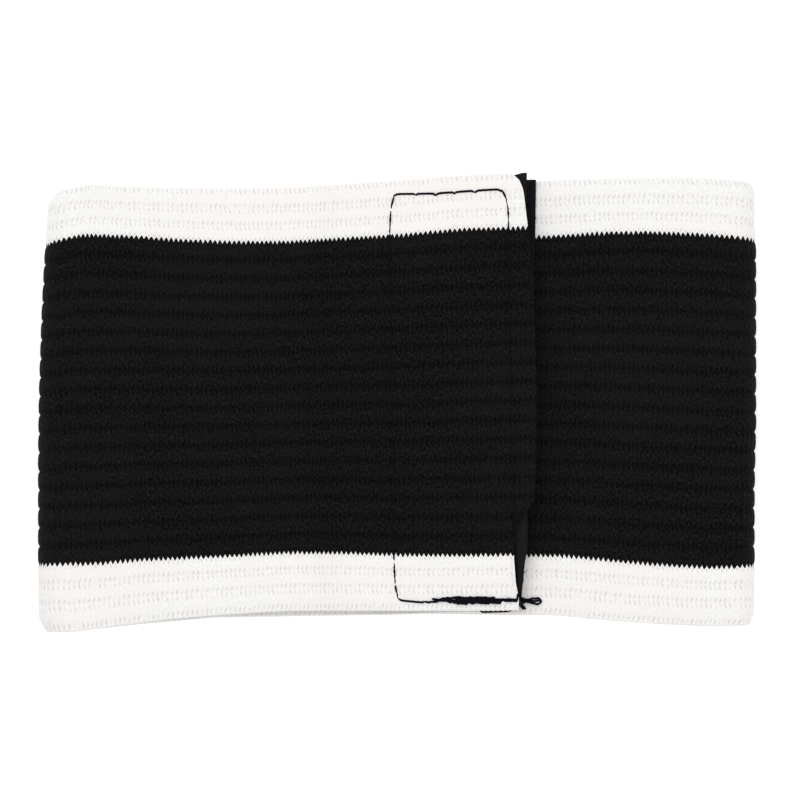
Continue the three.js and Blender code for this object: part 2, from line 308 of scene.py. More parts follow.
# %% How far the real lines lie from the straight ones
# Each row: place along the strip, then mm upwards for lower edge, lower change, upper change and upper edge.
half_turn = run_start["left_fold"] + run_lengths["left_fold"] / 2
OFF_LINE = np.array([
    (0.0, 1.2, 1.4, 0.0, -0.6),
    (s_at("under", 0.0), 0.3, 0.4, 0.0, -0.5),
    (s_at("under", 22.0), 0.1, 0.3, -0.2, -0.5),
    (s_at("under", 26.0), 0.1, 0.5, 0.1, -0.1),
    (s_at("under", 33.0), -0.4, 0.1, 0.9, 0.4),
    (s_at("under", 40.0), -0.6, -0.3, 1.3, 0.8),
    (s_at("under", 50.0), -0.7, -0.5, 1.3, 1.2),
    (run_start["right_fold"] + 2.0, -0.4, -0.1, 1.0, 1.0),
    (run_start["right_fold"] + 6.0, 0.0, 0.3, 0.4, 0.4),
    (s_at("back", 30.0), 1.5, 1.2, 0.3, 0.0),
    (s_at("back", 0.0), 2.2, 1.8, 0.0, 0.0),
    (s_at("back", -28.0), 2.0, 1.8, 0.0, 0.0),
    (s_at("back", -41.0), 1.0, 1.4, 0.0, -0.2),
    (s_at("back", -50.0), 0.1, 1.0, 0.0, -0.4),
    (half_turn, -0.1, 1.5, 0.9, 0.4),
    (s_at("flap", -52.0), -0.2, 1.5, 2.6, 1.5),
    (s_at("flap", -49.0), 0.1, 1.3, 2.4, 1.2),
    (s_at("flap", -42.0), 0.7, 1.6, 1.8, 0.6),
    (s_at("flap", -35.0), 1.2, 1.6, 0.9, 0.1),
    (s_at("flap", -27.0), 1.5, 1.6, 0.2, -0.4),
    (s_at("flap", -18.0), 1.6, 1.7, -0.2, -0.7),
    (s_at("flap", -8.0), 1.2, 1.2, -0.1, -0.6),
    (s_at("flap", 0.0), 0.8, 0.5, 0.0, -0.4),
    (s_at("flap", 11.0), 0.3, -0.1, 0.5, -0.1),
    (s_at("flap", 18.0), 0.0, -0.3, 0.3, -0.1),
    (strip_length, 0.0, -0.3, 0.3, -0.1),
])


def smooth_along(values, reach):
    """Values at every point of the path, blurred along it over a reach in mm."""
    even = np.arange(0.0, strip_length, STEP)
    window = np.hanning(int(reach / STEP))
    padded = np.pad(np.interp(even, path_s, values), len(window), mode="edge")
    blurred = np.convolve(padded, window / window.sum(), mode="same")[len(window) : -len(window)]
    return np.interp(path_s, even, blurred)


LINE_BLUR = 7.0  # mm along the strip
path_x = path_xz[:, 0]
first_turned = run_start["right_fold"] + 5.0  # about half way round the right fold
straight = np.where(path_s < first_turned, under_middle(path_x), back_middle(path_x))
straight = np.where(path_s > half_turn, flap_line(path_x), straight)
path_lines = [
    smooth_along(straight + rule + np.interp(path_s, OFF_LINE[:, 0], OFF_LINE[:, i + 1]), LINE_BLUR)
    for i, rule in enumerate(RULES)
]
black_width = path_lines[2] - path_lines[1]
print("the black is", round(black_width.min(), 1), "to", round(black_width.max(), 1), "mm wide")

# %% [markdown]
# ## Counting threads
# The elastic has 23 cords, or ribs, along its length: three white, seventeen black and
# three white. Yarns called picks cross them, about thirteen to each ten millimetres,
# and closer together where the elastic has drawn in. So every point of the cloth is
# given two counts instead of two lengths: how many picks it is along, and how many
# ribs across. Shape, colour and map all use these counts, so they can't drift apart.

# %% Rib and pick counts
RIBS = 23
BORDER_RIBS = 3
PICK = 0.785  # mm between picks
RIB_KNOTS = [0, 1, 2, 3, 20, 21, 22, 23]
LOWER_SHARES = [0.0, 0.39, 0.70, 1.0]  # the woven edge's own rib is the widest of the three
UPPER_SHARES = [0.0, 0.30, 0.62, 1.0]
close_picks = np.interp(path_s, [s_at("flap", x) for x in (-34, -20, -2, 8)], [1.0, 0.91, 0.91, 1.0])
path_pick = np.concatenate([[0.0], np.cumsum(np.diff(path_s) / (PICK * close_picks[1:]))])


def across(s, rib):
    """Y at length s for a rib count: even steps between the two
    colour changes, and the border's own shares outside them."""
    low_edge, low_change, up_change, up_edge = [np.interp(s, path_s, line) for line in path_lines]
    low = low_edge + (low_change - low_edge) * np.interp(rib, RIB_KNOTS[:4], LOWER_SHARES)
    middle = low_change + (up_change - low_change) * (rib - BORDER_RIBS) / (RIBS - 2 * BORDER_RIBS)
    high = up_change + (up_edge - up_change) * np.interp(rib, RIB_KNOTS[4:], UPPER_SHARES)
    return np.where(rib < BORDER_RIBS, low, np.where(rib > RIBS - BORDER_RIBS, high, middle))


def drift(pick, rib):
    """How far the picks wander, in picks: three slow waves that cross at odd angles."""
    first = 0.16 * np.sin(0.11 * pick + 1.7 * rib)
    second = 0.12 * np.sin(0.047 * pick - 0.61 * rib + 2.0)
    return first + second + 0.07 * np.sin(0.31 * pick + 2.9 * rib + 1.0)


print("picks along the whole strip:", int(path_pick[-1]))

# %% [markdown]
# ## The weave's shape
# Between two ribs the picks dive in, so each groove is sharp, and beside each groove they leave a row of
# small slits that lean one way on one side and the other way on the other. The ribs, the ripple of the
# picks and the slits are real shape here, not only colour: the surface is a grid with three to six
# points to each pick and eight to each rib, and its height is worked out for the whole grid at once.

# %% Height of the weave
GROOVE_DEPTH = 0.22  # mm
CROWN = 0.08
PICK_RIPPLE = 0.03
SLIT_DEPTH = 0.17
BORDER_SHARE = 0.5  # of the grooves' and slits' depth, in the white borders
SLIT_SHARE = 0.30  # of half a rib, from the groove
CHEVRON = 0.62  # picks that a yarn runs ahead between a rib's crest and its groove
EDGE_HALF = 0.42  # mm, half thickness at the woven edge
BELL = 0.15  # of half a rib, how far a groove's or slit's bell reaches


def weave_depth(pick, rib):
    """How far the surface lies under the crests. The side of a point is 0 on
    a rib's crest and 1 in its groove. Depth = a bell on the groove + a
    parabola over the rib + the picks' ripple + a slit bell in every pick."""
    side = np.abs(2.0 * np.mod(rib, 1.0) - 1.0)
    wave = np.cos(2.0 * math.pi * (pick + drift(pick, rib) + CHEVRON * side))
    inside = np.clip(np.minimum(rib, RIBS - rib) / 0.6, 0.0, 1.0)
    share = np.where(np.abs(rib - RIBS / 2) < RIBS / 2 - BORDER_RIBS, 1.0, BORDER_SHARE)
    groove = GROOVE_DEPTH * share * np.exp(-(((1.0 - side) / BELL) ** 2)) * inside
    ripple = PICK_RIPPLE * (1.0 + wave) * np.clip((1.0 - side) / 0.3, 0.0, 1.0)
    near = np.exp(-(((1.0 - side - SLIT_SHARE) / BELL) ** 2)) * inside
    slit = SLIT_DEPTH * share * near * np.clip(-wave, 0.0, 1.0) ** 3
    return groove + CROWN * side**2 + ripple + slit


# %% [markdown]
# ## Where the strip's ends wander
# The flap's cut end isn't square. It bulges in the middle, its upper corner is rounded,
# and the lower white border was cut back, so a little of both tapes shows past it. The
# two folds aren't straight either: they are drawn in towards their ends. The cut removes
# cloth and doesn't bend the weave, so it moves points along the strip and takes their
# pick count with them. A fold bends the cloth, so it moves points and leaves the count.

# %% Offsets of the ends
# Each pair: y in mm, then x in mm past the frame's flap end.
TIP_CUT = np.array([
    (-33.5, -1.6), (-31.5, -1.5), (-29.0, -2.0), (-25.0, -2.3), (-21.0, -2.1), (-19.0, -1.9),
    (-17.6, -0.3), (-15.8, 1.0), (-8.0, 1.3), (3.0, 1.35), (13.0, 1.1), (20.0, 0.65),
    (26.0, 0.2), (30.0, -0.3), (33.4, -0.7), (34.6, -0.95), (35.8, -1.5), (36.8, -2.6),
])
TIP_FADE = 9.0  # mm of the flap that takes up the cut's offset
FOLD_LEAD = 2.0  # mm inside a fold's centre where its draw starts to fade
FOLD_FADE = 12.0  # mm over which it fades


def tip_offset(y):
    """How far the flap's cut end lies from a square cut, across the band."""
    return np.interp(y, TIP_CUT[:, 0], TIP_CUT[:, 1])


def left_offset(y):
    """The left fold is drawn in towards +X at its upper end, and a little at its lower end. Each term is
    some mm times a share that rises from 0 to 1 towards that end."""
    up = np.clip((y - 2.0) / 32.0, 0.0, 1.0)
    corner = np.clip((y - 31.0) / 3.0, 0.0, 1.0)
    down = np.clip((-y - 33.0) / 4.0, 0.0, 1.0)
    return 1.5 * up**1.6 + 1.0 * corner**2 + 0.9 * down**2 - 0.25 * smooth_step((10.0 - y) / 20.0)


def right_offset(y):
    """The right fold is drawn in towards -X at its lower half and its upper corner. Each term is some mm
    times a share that rises from 0 to 1 towards that place."""
    down = smooth_step((-y - 2.0) / 14.0)
    corner = np.clip((-y - 32.5) / 3.5, 0.0, 1.0)
    up = smooth_step((y - 24.0) / 4.0)
    return 0.15 - 0.25 * down - 0.3 * corner**2 - 0.2 * up - 0.15 * np.clip((y - 33.5) / 2.5, 0.0, 1.0) ** 2


# %% Points of the strip
def strip_points(s, y, h):
    """The point at length s, plan place y and height h over the strip's middle surface: the path's point,
    plus h along the outside direction, plus the draw of the folds."""
    x = np.interp(s, path_s, path_xz[:, 0])
    z = np.interp(s, path_s, path_xz[:, 1])
    dx = np.interp(s, path_s, path_dir[:, 0])
    dz = np.interp(s, path_s, path_dir[:, 1])
    size = np.hypot(dx, dz)
    left_near = 1.0 - smooth_step((x - left_centre + FOLD_LEAD) / FOLD_FADE)
    right_near = 1.0 - smooth_step((right_centre + FOLD_LEAD - x) / FOLD_FADE)
    shift = left_near * left_offset(y) + right_near * right_offset(y)
    return np.stack(np.broadcast_arrays(x - h * dz / size + shift, y, z + h * dx / size), axis=-1)


# %% [markdown]
# ## Seams, as the cloth feels them
# A lockstitch pulls the cloth down between its needle holes. Each seam is a box of
# straight runs, given by its corners in x and y. The elastic's height is lowered
# in a soft valley along the hook tape's box, before the thread is laid in it. The
# loop tape's box leans a little, and its lower right corner shows past the flap.

# %% Seam boxes
hook_low, hook_high = box_mm("hook_tape")
loop_low, loop_high = box_mm("loop_tape")
face_low, face_high = box_mm("hook_stitching_face")
sewn_low, sewn_high = box_mm("loop_stitching_face")
# Each corner: x from the CAD seam's left or right side, y from the band's middle, in mm.
HOOK_SEAM = [
    (face_low[0] + 0.9, 33.4),
    (face_low[0] + 0.3, 31.0),
    (face_low[0] + 0.1, 27.0),
    (face_low[0] + 0.8, -25.5),
    (face_low[0] + 1.0, -29.3),
    (face_low[0] + 1.5, -31.8),
    (face_low[0] + 5.9, -32.2),
    (face_low[0] + 8.0, -31.9),
    (face_high[0] + 1.7, -31.8),
    (face_high[0] + 1.6, -27.0),
    (face_high[0] + 1.1, -20.0),
    (face_high[0] + 0.6, 0.0),
    (face_high[0] + 0.2, 30.8),
    (face_high[0] - 0.2, 32.9),
    (face_high[0] - 0.9, 34.2),
    (face_high[0] - 5.28, 33.95),
    (face_low[0] + 7.58, 33.5),
]
LOOP_SEAM = [
    (sewn_low[0] + 1.18, 32.2),
    (sewn_low[0] + 1.78, -33.0),
    (sewn_high[0] - 18.78, -32.4),
    (sewn_high[0] + 2.22, -32.0),
    (sewn_high[0] + 2.27, -27.6),
    (sewn_high[0] + 0.22, 0.0),
    (sewn_high[0] - 0.38, 33.2),
]
SEAM_PULL = 0.28  # mm that a seam lowers the cloth
SEAM_REACH = 0.8  # mm to each side


def distance_to_box(x, y, corners):
    """The distance from each point to the nearest side of a closed box of straight sides."""
    nearest = np.full(np.broadcast(x, y).shape, 1e9)
    for (ax, ay), (bx, by) in zip(corners, corners[1:] + corners[:1]):
        dx, dy = bx - ax, by - ay
        t = np.clip(((x - ax) * dx + (y - ay) * dy) / (dx * dx + dy * dy), 0.0, 1.0)
        nearest = np.minimum(nearest, np.hypot(x - ax - t * dx, y - ay - t * dy))
    return nearest


# %% [markdown]
# ## Making meshes from arrays
# Two helpers make every new piece. The first puts points, faces and a cloth map into a mesh. The second
# carries a round section along many paths at once, for thread, hooks and loops: at each point it needs
# the direction of the path and two directions across it.

# %% Helpers for meshes
def new_piece(name, points, faces, material, thread_map=None, flat_faces=0):
    """A mesh object from points in millimetres and a list of
    faces. The last flat_faces faces aren't smooth."""
    mesh = bpy.data.meshes.new(name)
    mesh.from_pydata(np.asarray(points) / MM, [], faces)
    smooth = np.ones(len(mesh.polygons), bool)
    if flat_faces:
        smooth[-flat_faces:] = False
    mesh.polygons.foreach_set("use_smooth", smooth)
    if thread_map is not None:
        corner = np.empty(len(mesh.loops), np.int32)
        mesh.loops.foreach_get("vertex_index", corner)
        layer = mesh.uv_layers.new(name="threads")
        layer.data.foreach_set("uv", np.asarray(thread_map, np.float32)[corner].ravel())
    mesh.materials.append(material)
    mesh.update()
    piece = bpy.data.objects.new(name, mesh)
    bpy.context.collection.objects.link(piece)
    return piece


def tube_arrays(paths, radius, sides, ply=0.0, twist=0.0):
    """Round tubes along many paths of the same number of points, as points and
    faces. Each ring stands across the path: centre + r (cos a) across + r (sin
    a) up. With ply above 0 the radius swells three times round, and the swelling
    turns by twist radians for each millimetre, as the plies of a thread do."""
    paths = np.asarray(paths, float)
    count, steps = paths.shape[:2]
    along = np.gradient(paths, axis=1)
    along /= np.linalg.norm(along, axis=2)[..., None] + 1e-12
    chord = paths[:, -1] - paths[:, 0]
    upright = np.abs(chord[:, 2:3]) > 0.8 * np.linalg.norm(chord, axis=1)[:, None]
    guide = np.where(upright, [[1.0, 0.3, 0.0]], [[0.0, 0.0, 1.0]])
    across = np.cross(along, guide[:, None, :] + 1e-6)
    across /= np.linalg.norm(across, axis=2)[..., None] + 1e-12
    up = np.cross(across, along)
    angle = np.linspace(0.0, 2.0 * math.pi, sides, endpoint=False)
    gone = np.cumsum(np.linalg.norm(np.diff(paths, axis=1), axis=2), axis=1)
    gone = np.concatenate([np.zeros((count, 1)), gone], axis=1)
    swell = 1.0 + ply * np.cos(3.0 * (angle[None, None, :] - twist * gone[..., None]))
    ring = np.broadcast_to(np.asarray(radius, float), (count, steps))[..., None] * swell
    points = (
        paths[:, :, None, :]
        + ring[..., None] * np.cos(angle)[None, None, :, None] * across[:, :, None, :]
        + ring[..., None] * np.sin(angle)[None, None, :, None] * up[:, :, None, :]
    )
    index = np.arange(count * steps * sides).reshape(count, steps, sides)
    a, b = index[:, :-1], index[:, 1:]
    quads = np.stack([a, np.roll(a, -1, axis=2), np.roll(b, -1, axis=2), b], axis=-1).reshape(-1, 4)
    caps = [list(r[::-1]) for r in index[:, 0].tolist()] + [list(r) for r in index[:, -1].tolist()]
    return points.reshape(-1, 3), quads.tolist() + caps


# %% [markdown]
# ## Helper for materials
# Each finish is a small network of nodes. Writing them by hand is long, so one
# helper adds a node and links or sets its inputs, and another does arithmetic.
# Numbers that are the same all over a surface are set on the shader itself.

# %% Helpers for materials
def new_finish(name, roughness, sheen=0.0, sheen_tint=(1.0, 1.0, 1.0, 1.0), specular=0.5):
    """A material with one principled shader, and a function that adds nodes to it."""
    material = bpy.data.materials.new(name)
    material.use_nodes = True
    tree = material.node_tree
    shader = tree.nodes["Principled BSDF"]
    shader.inputs["Roughness"].default_value = roughness
    shader.inputs["Specular IOR Level"].default_value = specular
    shader.inputs["Sheen Weight"].default_value = sheen
    shader.inputs["Sheen Roughness"].default_value = 0.5
    shader.inputs["Sheen Tint"].default_value = sheen_tint

    def node(kind, output=0, inputs=None, **settings):
        """Adds a node, sets or links its inputs by name or number, and returns one of its outputs."""
        made = tree.nodes.new(kind)
        for key, value in settings.items():
            setattr(made, key, value)
        for key, value in (inputs or {}).items():
            if isinstance(value, bpy.types.NodeSocket):
                tree.links.new(value, made.inputs[key])
            else:
                made.inputs[key].default_value = value
        return made.outputs[output]

    def calc(operation, *values):
        """One arithmetic node."""
        return node("ShaderNodeMath", operation=operation, inputs=dict(enumerate(values)))

    def mix(factor, first, second):
        """A blend of two colours."""
        return node("ShaderNodeMix", 2, {0: factor, 6: first, 7: second}, data_type="RGBA")

    def finish(colour, bump=None, strength=0.5, distance=0.0001):
        """Links the colour and, if there is one, the bump height to the shader."""
        tree.links.new(colour, shader.inputs["Base Color"])
        if bump is not None:
            normal = node("ShaderNodeBump", 0, {"Strength": strength, "Distance": distance, "Height": bump})
            tree.links.new(normal, shader.inputs["Normal"])
        return material

    return node, calc, mix, finish


# %% [markdown]
# ## The elastic's finish
# The black and the white are two yarns in one cloth, so one material makes both. Where they meet, the
# weave swaps them pick by pick, which makes a row of sharp white teeth. The material reads the thread
# counts from the piece's own map. From them come the teeth, the filaments in each yarn, painted shade
# in the grooves and in the slits beside them, and painted glints on the odd stray fibre of the black.

# %% The elastic's finish
TOOTH_HIGH = 0.24  # ribs that a white tooth reaches into the black
TOOTH_LOW = 0.13  # ribs that its foot lies inside the colour change


def elastic_finish():
    """Black and white ribbed elastic. The map holds the pick count in U and the rib count in V."""
    node, calc, mix, finish = new_finish("woven_elastic", 0.85, sheen=0.008, specular=0.05)
    place = node("ShaderNodeUVMap", uv_map="threads")
    picks = node("ShaderNodeSeparateXYZ", 0, {0: place})
    ribs = node("ShaderNodeSeparateXYZ", 1, {0: place})
    side = calc("ABSOLUTE", calc("SUBTRACT", calc("MULTIPLY", calc("FRACT", ribs), 2.0), 1.0))
    leaning = calc("ADD", picks, calc("MULTIPLY", side, CHEVRON))
    wave = calc("COSINE", calc("MULTIPLY", leaning, 2 * math.pi))

    def band(value, low, high, start=1.0, stop=0.0):
        """A smooth change from start to stop as a value goes from low to high."""
        inputs = {0: value, 1: low, 2: high, 3: start, 4: stop}
        return node("ShaderNodeMapRange", 0, inputs, interpolation_type="SMOOTHSTEP")

    def noise(scale, detail, vector):
        """Flat noise on the thread counts, from 0 to 1."""
        inputs = {"Vector": vector, "Scale": scale, "Detail": detail, "Roughness": 0.6}
        return node("ShaderNodeTexNoise", 0, inputs, noise_dimensions="2D")

    # A slit is where the pick's wave is lowest and the groove is close; the mask drives its bump and its
    # painted shade.
    from_row = calc("ABSOLUTE", calc("SUBTRACT", calc("SUBTRACT", 1.0, side), SLIT_SHARE))
    even = node("ShaderNodeMapping", 0, {"Vector": place, "Scale": (0.8, 3.0, 1.0)})
    patchy = noise(0.9, 3.0, even)
    open_here = band(patchy, 0.35, 0.62, 0.15, 1.0)
    slit = calc("MULTIPLY", band(from_row, 0.10, 0.34), band(wave, -0.95, -0.1))
    slit = calc("MULTIPLY", slit, open_here)
    # The groove mask serves only the painted shade in the grooves.
    groove = band(side, 0.70, 1.0, 0.0, 1.0)

    # Filaments run across the strip, so their noise is squeezed along it.
    thin = node("ShaderNodeMapping", 0, {"Vector": place, "Scale": (3.2, 6.0, 1.0)})
    filament = band(noise(1.0, 3.0, thin), 0.34, 0.66, 0.0, 1.0)
    # Painted highlight: pale specks stand in for the sheen of stray fibres on the black.
    fibre_glint = band(noise(2.3, 2.0, even), 0.70, 0.78, 0.0, 1.0)
    broad = noise(0.035, 3.0, even)

    # The teeth: the colour changes where the ribs from the middle pass a saw line of the picks.
    saw = calc("PINGPONG", picks, 0.5)
    uneven = calc("MULTIPLY", calc("SUBTRACT", patchy, 0.5), 0.16)
    from_middle = calc("ABSOLUTE", calc("SUBTRACT", ribs, RIBS / 2))
    tooth = calc("MULTIPLY", calc("POWER", calc("MULTIPLY", saw, 2.0), 0.8), TOOTH_HIGH)
    line = calc("ADD", tooth, RIBS / 2 - BORDER_RIBS - TOOTH_LOW)
    is_white = calc("GREATER_THAN", calc("ADD", from_middle, uneven), line)

    black = mix(filament, (0.0012, 0.0012, 0.0012, 1.0), (0.0095, 0.0094, 0.0092, 1.0))
    black = mix(band(broad, 0.40, 0.7, 0.0, 0.35), black, (0.0085, 0.0085, 0.0085, 1.0))
    # Painted highlight: the specks lighten the black, as glints of stray fibres.
    black = mix(calc("MULTIPLY", fibre_glint, 0.45), black, (0.045, 0.045, 0.044, 1.0))
    # Painted shade: the grooves and slits are darkened in colour, as shade falls in these recesses.
    black = mix(calc("MULTIPLY", groove, 0.4), black, (0.0010, 0.0010, 0.0012, 1.0))
    black = mix(calc("MULTIPLY", slit, 0.85), black, (0.0004, 0.0004, 0.0006, 1.0))
    white = mix(filament, (0.80, 0.785, 0.765, 1.0), (0.86, 0.855, 0.84, 1.0))
    white = mix(band(broad, 0.42, 0.62, 0.0, 0.6), white, (0.84, 0.80, 0.79, 1.0))
    # Painted shade: the white's slits are darkened too.
    white = mix(calc("MULTIPLY", slit, 0.48), white, (0.45, 0.42, 0.40, 1.0))
    colour = mix(is_white, black, white)
    yarn = calc("ADD", calc("MULTIPLY", filament, 0.6), calc("MULTIPLY", wave, 0.2))
    return finish(colour, calc("SUBTRACT", yarn, calc("MULTIPLY", slit, 0.5)), 0.4, 0.0001)


elastic = elastic_finish()
print("the elastic's finish has", len(elastic.node_tree.nodes), "nodes")

# %% [markdown]
# ## Weaving the strip
# The strip's cross-section is a closed ring: across the outside, round one woven edge, back across the
# inside and round the other edge. Carried along the path it makes a closed skin. It is cut into lengths,
# each of which crosses one joint of the frame at most, and the cut lengths meet exactly, so no seam shows
# while the band is at rest.

# %% The ring of the cross-section
RIB_STEPS = np.array([0.0, 0.055, 0.14, 0.28, 0.5, 0.72, 0.86, 0.945])
face_rib = np.concatenate([(np.arange(RIBS)[:, None] + RIB_STEPS).ravel(), [RIBS]])
edge_out = np.array([0.14, 0.20, 0.14])  # mm past the last rib
edge_h = np.array([0.24, 0.0, -0.24])
ring_rib = np.concatenate([face_rib, [RIBS] * 3, face_rib[::-1], [0.0] * 3])
ring_out = np.concatenate([0 * face_rib, edge_out, 0 * face_rib, -edge_out])
ring_side = np.concatenate([1 + 0 * face_rib, [0] * 3, -1 - 0 * face_rib, [0] * 3])
ring_h = np.concatenate([0 * face_rib, edge_h, 0 * face_rib, -edge_h])
PICOT = 0.05  # mm that the picks' turns stand out along the woven edge
print("points round the strip:", len(ring_rib))


# %% One length of the strip
def ring_faces(rows):
    """Quads between the rings, then one flat cap of quads and two small end faces at each end."""
    count, top = len(ring_rib), len(face_rib)
    index = np.arange(rows * count).reshape(rows, count)
    a, b = index[:-1], index[1:]
    quads = np.stack([a, b, np.roll(b, -1, axis=1), np.roll(a, -1, axis=1)], axis=-1).reshape(-1, 4)
    upper = np.arange(top)
    lower = (2 * top + 2) - upper
    first = np.column_stack([upper[:-1], upper[1:], lower[1:], lower[:-1]])
    upper_end = [top - 1, top, top + 1, top + 2, top + 3]
    lower_end = [2 * top + 2, 2 * top + 3, 2 * top + 4, 2 * top + 5, 0]
    ends = [upper_end, lower_end]
    last_row = (rows - 1) * count
    caps = first.tolist() + ends
    caps += (last_row + first[:, ::-1]).tolist() + [[last_row + i for i in e[::-1]] for e in ends]
    return quads.tolist() + caps, len(caps)


def strip_surface(pick, to_tip):
    """Points of the closed skin for a column of pick counts. The height of
    a face is the half thickness less the weave's depth, thinner near the
    woven edges and the cut end, and lower along the hook tape's seam."""
    rib = ring_rib[None, :]
    s = np.interp(pick, path_pick, path_s)[:, None] + 0.0 * rib
    y = across(s, rib) + ring_out
    if to_tip:
        near = smooth_step((s - strip_length + TIP_FADE) / TIP_FADE)
        s = s + near * tip_offset(y)
        y = across(s, rib) + ring_out
    count = np.interp(s, path_s, path_pick) + np.maximum(s - strip_length, 0.0) / PICK
    picot = np.where(np.minimum(rib, RIBS - rib) < 0.1, np.cos(2 * math.pi * count), 0.0)
    y = y + PICOT * picot
    rim = smooth_step(np.minimum(rib, RIBS - rib) / 0.5)
    half = EDGE_HALF + (half_thick - EDGE_HALF) * rim
    face = half - weave_depth(count, rib) * (0.4 + 0.6 * rim)
    h = np.where(ring_side == 0, ring_h, ring_side * face)
    x = np.interp(s, path_s, path_xz[:, 0]) + np.maximum(s - strip_length, 0.0)
    if to_tip:
        left = strip_length + tip_offset(y) - s
        h = h * (0.55 + 0.45 * smooth_step(left / 0.9))
        valley = SEAM_PULL * np.exp(-((distance_to_box(x, y, HOOK_SEAM) / SEAM_REACH) ** 2))
        h = h - np.where(ring_side > 0, valley, 0.0)
    points = strip_points(s, y, h)
    points[..., 0] += np.maximum(s - strip_length, 0.0)
    threads = np.stack(np.broadcast_arrays(count + drift(count, rib), rib), axis=-1)
    return points.reshape(-1, 3), threads.reshape(-1, 2)


def keep_normals_going(mesh, pick, to_tip, flat):
    """Gives each corner the normal of the whole strip, from rings one step further on, so that no line
    shows where two lengths meet: normal = the step round the ring crossed with the step along it. Corners
    of the flat caps, which come last, are left at zero, which keeps their own."""
    step = pick[1] - pick[0]
    wider = np.concatenate([[pick[0] - step], pick, [pick[-1] + step]])
    rings = strip_surface(wider, to_tip)[0].reshape(len(wider), len(ring_rib), 3)
    along = rings[2:] - rings[:-2]
    around = np.roll(rings, -1, axis=1)[1:-1] - np.roll(rings, 1, axis=1)[1:-1]
    normal = np.cross(along, around).reshape(-1, 3)
    normal /= np.linalg.norm(normal, axis=1)[:, None] + 1e-12
    corner = np.empty(len(mesh.loops), np.int32)
    mesh.loops.foreach_get("vertex_index", corner)
    wanted = normal[corner]
    wanted[mesh.polygons[len(mesh.polygons) - flat].loop_start :] = 0.0
    mesh.normals_split_custom_set(wanted)
    own = np.empty(3 * len(mesh.vertices))
    mesh.vertices.foreach_get("normal", own)
    agree = np.mean(np.sum(own.reshape(-1, 3) * normal, axis=1))
    print("normals agree with the faces:", round(float(agree), 3))


def weave_length(name, s0, s1, steps=4, to_tip=False):
    """One closed length of the strip, from s0 to s1, with
    its thread map and a number of steps to each pick."""
    p0, p1 = np.interp([s0, s1], path_s, path_pick)
    pick = np.linspace(p0, p1, int(round((p1 - p0) * steps)) + 1)
    points, threads = strip_surface(pick, to_tip)
    faces, flat = ring_faces(len(pick))
    piece = new_piece(name, points, faces, elastic, threads, flat)
    keep_normals_going(piece.data, pick, to_tip, flat)
    print(name, "is", round(s1 - s0, 1), "mm long, with", len(faces) * 2, "triangles")
    return piece


# %% The lengths of the strip
ZONES = ("upper_border", "centre", "lower_border")


def nodes_of(*stems):
    """The names of the CAD nodes of some lengths of the strip, one for each colour zone."""
    return [f"{stem}_{zone}" for stem in stems for zone in ZONES]


def at(level, x):
    """A point of the path in metres, where a level passes a given x."""
    return (x / MM, 0.0, float(np.interp(s_at(level, x), path_s, path_xz[:, 1])) / MM)


STUB = 1.3  # mm of level elastic that a fold keeps beside it
SLIM_GAP = 0.05  # mm, half the gap between two CAD nodes that only slide
under_split = box_mm("under_panel_centre")[1][0] + SLIM_GAP
under_root_x = box_mm("under_root_centre")[0][0] + STUB
right_stub = box_mm("right_end_centre")[0][0] + STUB
left_stub = box_mm("left_end_centre")[1][0] - STUB
flap_root_x = stretch_in - SLIM_GAP
flap_half_x = (flap_root_x + neck_x) / 2
s_under_split = s_at("under", under_split)
s_under_root = s_at("under", under_root_x)
s_right_stub = s_at("back", right_stub)
s_back_half = s_at("back", 0.0)
s_left_stub = s_at("back", left_stub)
s_flap_root = s_at("flap", flap_root_x)
s_flap_half = s_at("flap", flap_half_x)
s_neck = s_at("flap", neck_x + 1.5)

under_hidden = weave_length("elastic_inner_end", 0.0, s_under_split, 3)
under_shown = weave_length("elastic_inner_run", s_under_split, s_under_root, 6)
right_fold = weave_length("elastic_right_fold", s_under_root, s_right_stub)
back_right = weave_length("elastic_back_right", s_right_stub, s_back_half)
back_left = weave_length("elastic_back_left", s_back_half, s_left_stub)
left_low = weave_length("elastic_left_fold_low", s_left_stub, half_turn)
left_high = weave_length("elastic_left_fold_high", half_turn, s_flap_root)
flap_left = weave_length("elastic_flap_left", s_flap_root, s_flap_half, 6)
flap_right = weave_length("elastic_flap_right", s_flap_half, s_neck, 6)
flap_end = weave_length("elastic_flap_end", s_neck, strip_length, 5, to_tip=True)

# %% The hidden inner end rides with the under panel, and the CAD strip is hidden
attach(under_hidden, "under_panel")
INSET = 0.5  # mm from a stretching run's ends to where its blend starts and stops
inner_run = [at("under", x) for x in (under_split + INSET, under_root_x - INSET)]
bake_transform(under_shown)
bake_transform(right_fold)
back_run = [at("back", x) for x in (right_stub - 2 * INSET, left_stub + 2 * INSET)]
for piece in (back_right, back_left):
    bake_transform(piece)
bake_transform(left_low)
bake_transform(left_high)
flap_run = [at("flap", x) for x in (flap_root_x + INSET, neck_x - INSET)]
for piece in (flap_left, flap_right):
    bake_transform(piece)
PEEL_LEAD = 2.2  # mm of elastic that bends before the peel line
TAPE_LEAD = 0.2  # mm of it that bends over the tape
peel_run = [at("flap", x) for x in (peel_x - PEEL_LEAD, hook_low[0] + TAPE_LEAD)]
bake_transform(flap_end)
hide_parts(*nodes_of("under_panel"))
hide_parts(*nodes_of("under_stretch"))
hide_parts(*nodes_of("under_root", "right_end"))
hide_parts(*nodes_of("back_stretch"))
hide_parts(*nodes_of("left_end"))
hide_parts(*nodes_of("fold_mid", "flap_root"))
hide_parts(*nodes_of("flap_stretch"))
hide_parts(*nodes_of("flap_neck", "flap_tip"))

# %% [markdown]
# ## Hook tape and loop tape
# Both tapes are a thin woven ground with something standing on it: stiff nylon hooks on one, a brushed
# pile of loops on the other. From above only their edges show past the flap, but when the flap is peeled
# both lie open, so the hooks and loops are modelled one by one. Each tape's ground is a slab whose long
# and short edges wander a little, as cut and sewn tape does.

